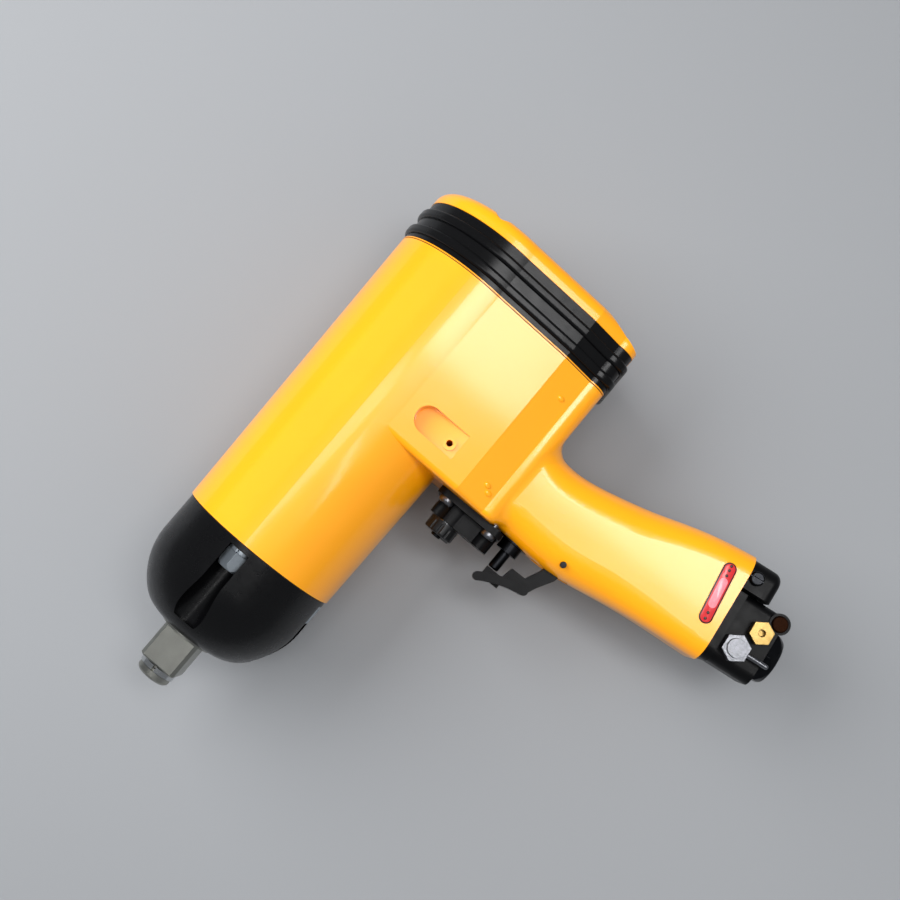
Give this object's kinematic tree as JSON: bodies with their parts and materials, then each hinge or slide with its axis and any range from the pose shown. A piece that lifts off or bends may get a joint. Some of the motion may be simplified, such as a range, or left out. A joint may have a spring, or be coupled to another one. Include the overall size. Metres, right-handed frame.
{
  "type": "air impact wrench",
  "caption": "Pneumatic pistol-grip impact wrench with a 3/4 inch square drive, air motor, twin-hammer clutch, reverse valve and lever trigger.",
  "frame": {"origin": "on the drive axis, at the shoulder of the anvil where the drive square begins", "axes": "-Y out of the nose along the drive axis, +Y to the rear cover, +X down the handle, +Z to the left side of the tool, which lies on its right side"},
  "size_m": [0.2598, 0.2597, 0.0894],
  "materials": {
    "yellow_paint": "gloss",
    "black_enamel": "semi-gloss",
    "black_casting": "satin",
    "black_rubber": "gloss",
    "nitrile": "matt",
    "gasket_fibre": "matt",
    "anvil_steel": "ground",
    "forged_steel": "machined",
    "ground_steel": "ground",
    "zinc_plate": "plated",
    "black_oxide": "oiled",
    "spring_steel": "bright",
    "bearing_steel": "polished",
    "nickel_plate": "bright",
    "bronze": "machined",
    "brass": "machined",
    "sintered_bronze": "porous",
    "cast_iron_liner": "honed",
    "end_plate_iron": "ground",
    "phenolic": "matt",
    "black_plastic": "satin",
    "felt": "matt",
    "red_label": "gloss"
  },
  "bodies": {
    "tool_body": {"housing": "yellow_paint", "hammer_case": "black_enamel", "case_bolts": "zinc_plate", "case_washers": "zinc_plate", "front_gasket": "gasket_fibre", "anvil_bushing": "bronze", "anvil_seal": "nitrile", "cylinder_liner": "cast_iron_liner", "front_end_plate": "end_plate_iron", "rear_end_plate": "end_plate_iron", "liner_dowel": "ground_steel", "front_bearing_outer": "bearing_steel", "rear_bearing_outer": "bearing_steel", "rear_gasket": "gasket_fibre", "rear_cover": "yellow_paint", "rear_bumper": "black_rubber", "cover_screws": "black_oxide", "valve_block": "black_casting", "block_screws": "nickel_plate", "detent_ball": "bearing_steel", "detent_spring": "spring_steel", "detent_plug": "black_oxide", "throttle_bushing": "black_oxide", "throttle_spring": "spring_steel", "trigger_pin": "ground_steel", "handle_label": "red_label", "end_cap": "black_casting", "end_cap_screws": "black_oxide", "inlet_bushing": "black_oxide", "inlet_screen": "brass", "oil_plug": "brass", "bronze_vent": "sintered_bronze", "muffler_felt": "felt", "exhaust_deflector": "black_casting", "deflector_screw": "nickel_plate"},
    "rotor_group": {"rotor": "forged_steel", "rotor_vanes": "phenolic", "hammer_cage": "forged_steel", "hammer_pins": "ground_steel", "front_bearing_inner": "bearing_steel", "rear_bearing_inner": "bearing_steel"},
    "front_dog": {"front_hammer_dog": "forged_steel"},
    "rear_dog": {"rear_hammer_dog": "forged_steel"},
    "anvil_group": {"anvil": "anvil_steel", "socket_ring": "spring_steel", "socket_ring_oring": "nitrile"},
    "front_balls": {"front_bearing_balls": "bearing_steel"},
    "rear_balls": {"rear_bearing_balls": "bearing_steel"},
    "trigger_lever": {"trigger": "black_casting"},
    "throttle_plunger": {"throttle_stem": "ground_steel", "throttle_valve": "nitrile"},
    "reverse_valve": {"reverse_spool": "ground_steel", "reverse_knob": "black_plastic", "knob_screw": "nickel_plate"},
    "regulator_valve": {"regulator_spindle": "brass", "regulator_oring": "nitrile", "regulator_knob": "nickel_plate"}
  },
  "joints": [
    {"name": "rotor_spin", "type": "hinge", "parent": "tool_body", "child": "rotor_group", "pos_m": [0, 0.15, 0], "axis": [0, -1, 0], "continuous": true},
    {"name": "anvil_spin", "type": "hinge", "parent": "tool_body", "child": "anvil_group", "pos_m": [0, 0, 0], "axis": [0, -1, 0], "continuous": true},
    {"name": "front_dog_rock", "type": "hinge", "parent": "rotor_group", "child": "front_dog", "pos_m": [0.0235, 0.06415, 0], "axis": [0, -1, 0], "range_deg": [-2.5, 2.5]},
    {"name": "rear_dog_rock", "type": "hinge", "parent": "rotor_group", "child": "rear_dog", "pos_m": [-0.0235, 0.07885, 0], "axis": [0, -1, 0], "range_deg": [-2.5, 2.5]},
    {"name": "front_balls_orbit", "type": "hinge", "parent": "tool_body", "child": "front_balls", "pos_m": [0, 0.1055, 0], "axis": [0, -1, 0], "continuous": true},
    {"name": "rear_balls_orbit", "type": "hinge", "parent": "tool_body", "child": "rear_balls", "pos_m": [0, 0.195, 0], "axis": [0, -1, 0], "continuous": true},
    {"name": "trigger_pull", "type": "hinge", "parent": "tool_body", "child": "trigger_lever", "pos_m": [0.112, 0.134, 0], "axis": [0, 0, -1], "range_deg": [0, 8], "stiffness_Nm_per_rad": 1.2, "springref_deg": -14.32},
    {"name": "throttle_push", "type": "slide", "parent": "tool_body", "child": "throttle_plunger", "axis": [0, 1, 0], "range_m": [0, 0.0033], "deforming": ["throttle_spring"]},
    {"name": "reverse_turn", "type": "hinge", "parent": "tool_body", "child": "reverse_valve", "pos_m": [0.059, 0.11, 0], "axis": [0, 1, 0], "range_deg": [0, 90]},
    {"name": "regulator_turn", "type": "hinge", "parent": "tool_body", "child": "regulator_valve", "pos_m": [0.194, 0.15459, 0.0126], "axis": [0, 0, 1], "range_deg": [-75, 10]}
  ],
  "couplings": [
    {"joint": "anvil_spin", "follows": "rotor_spin", "ratio": 1},
    {"joint": "front_balls_orbit", "follows": "rotor_spin", "ratio": 0.38},
    {"joint": "rear_balls_orbit", "follows": "rotor_spin", "ratio": 0.38},
    {"joint": "throttle_push", "follows": "trigger_pull", "m_per_rad": 0.0233}
  ]
}
